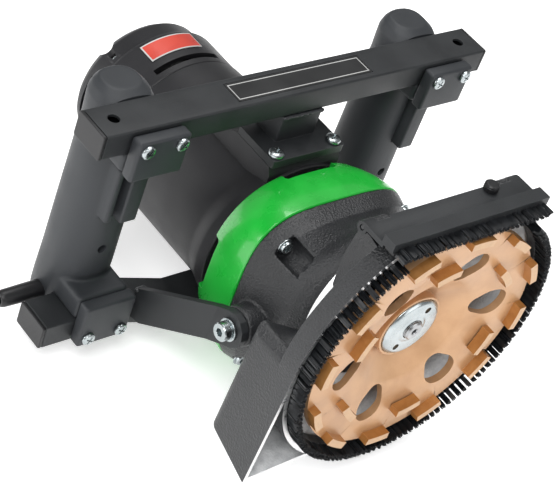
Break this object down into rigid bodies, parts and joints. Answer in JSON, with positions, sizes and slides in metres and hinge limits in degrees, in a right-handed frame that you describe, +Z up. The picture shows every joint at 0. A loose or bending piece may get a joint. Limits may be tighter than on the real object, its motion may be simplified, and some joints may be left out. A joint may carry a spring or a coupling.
{
  "type": "concrete wall grinder",
  "caption": "Two-handed electric concrete grinder: diamond cup wheel in a brush-edged dust hood with a folding flap, motor behind, and a tube frame with two grips.",
  "frame": {"origin": "centre of the flat nose of the spindle, on the wheel axis", "axes": "-Y out of the nose towards the wall being ground; +X to the right along the crossbars, seen from the operator's rear; +Z up along the grips, towards the folding flap"},
  "size_m": [0.3461, 0.328, 0.2194],
  "materials": {
    "wheel_paint": "semi-gloss copper lacquer",
    "zinc": "bright zinc plate",
    "steel": "machined",
    "alloy": "machined",
    "cast_paint": "cast, with a textured black powder coat",
    "green_plastic": "gloss",
    "motor_plastic": "fine grain",
    "grip_plastic": "fine grain",
    "frame_paint": "dark grey powder coat",
    "black_plastic": "matte",
    "bristle": "nylon bristle",
    "copper": "enamelled copper winding",
    "brass": "machined",
    "label": "satin film"
  },
  "bodies": {
    "machine": {"spindle_front_bearing": "steel", "spindle_rear_bearing": "steel", "rotor_front_bearing": "steel", "rotor_rear_bearing": "steel", "neck_collar": "alloy", "gear_head": "cast_paint", "head_screw_upper_left": "zinc", "head_screw_upper_right": "zinc", "head_screw_lower_left": "zinc", "head_screw_lower_right": "zinc", "bearing_plate": "alloy", "trim_ring": "green_plastic", "motor_housing": "motor_plastic", "rear_cap": "motor_plastic", "cap_screw_left": "zinc", "cap_screw_right": "zinc", "rating_plate": "label", "stator": "copper", "brush_holder_left": "brass", "brush_holder_right": "brass", "hood": "cast_paint", "brush_ring": "bristle", "hinge_pin_left": "steel", "hinge_pin_right": "steel", "top_tube": "frame_paint", "top_plug_left": "black_plastic", "top_plug_right": "black_plastic", "bar_foot": "frame_paint", "foot_screw_left": "zinc", "foot_screw_right": "zinc", "bar_label": "label", "lower_tube": "frame_paint", "lower_plug_left": "black_plastic", "lower_plug_right": "black_plastic", "strut_left": "frame_paint", "strut_right": "frame_paint", "strut_bolt_left": "zinc", "strut_bolt_right": "zinc", "grip_left": "grip_plastic", "grip_right": "grip_plastic", "clamp_top_left": "grip_plastic", "clamp_top_right": "grip_plastic", "clamp_low_left": "grip_plastic", "clamp_low_right": "grip_plastic", "switch_block_left": "black_plastic", "switch_block_right": "black_plastic", "cord_sleeve": "black_plastic"},
    "wheel_spindle": {"cup_wheel": "wheel_paint", "flange_nut": "zinc", "support_flange": "steel", "spindle": "steel", "spindle_gear": "steel"},
    "rotor": {"rotor_shaft": "steel", "fan": "black_plastic", "armature": "copper"},
    "hood_flap": {"flap": "frame_paint", "flap_brush": "bristle"},
    "latch_knob": {"flap_latch": "black_plastic"},
    "left_trigger": {"trigger_left": "grip_plastic"},
    "right_trigger": {"trigger_right": "grip_plastic"}
  },
  "joints": [
    {"name": "wheel_spin", "type": "hinge", "parent": "machine", "child": "wheel_spindle", "pos_m": [0, 0, 0], "axis": [0, -1, 0], "continuous": true},
    {"name": "rotor_spin", "type": "hinge", "parent": "machine", "child": "rotor", "pos_m": [0, 0.06, -0.0345], "axis": [0, -1, 0], "continuous": true},
    {"name": "flap_hinge", "type": "hinge", "parent": "machine", "child": "hood_flap", "pos_m": [0, 0.023, 0.091], "axis": [-1, 0, 0], "range_deg": [0, 110]},
    {"name": "latch_lift", "type": "slide", "parent": "hood_flap", "child": "latch_knob", "axis": [0, 0, 1], "range_m": [0, 0.003], "stiffness_N_per_m": 150, "springref_m": -0.001},
    {"name": "left_trigger_press", "type": "slide", "parent": "machine", "child": "left_trigger", "axis": [0, 1, 0], "range_m": [0, 0.005], "stiffness_N_per_m": 1200, "springref_m": -0.001},
    {"name": "right_trigger_press", "type": "slide", "parent": "machine", "child": "right_trigger", "axis": [0, 1, 0], "range_m": [0, 0.005], "stiffness_N_per_m": 1200, "springref_m": -0.001}
  ],
  "couplings": [
    {"joint": "rotor_spin", "follows": "wheel_spin", "ratio": -3.1818}
  ]
}
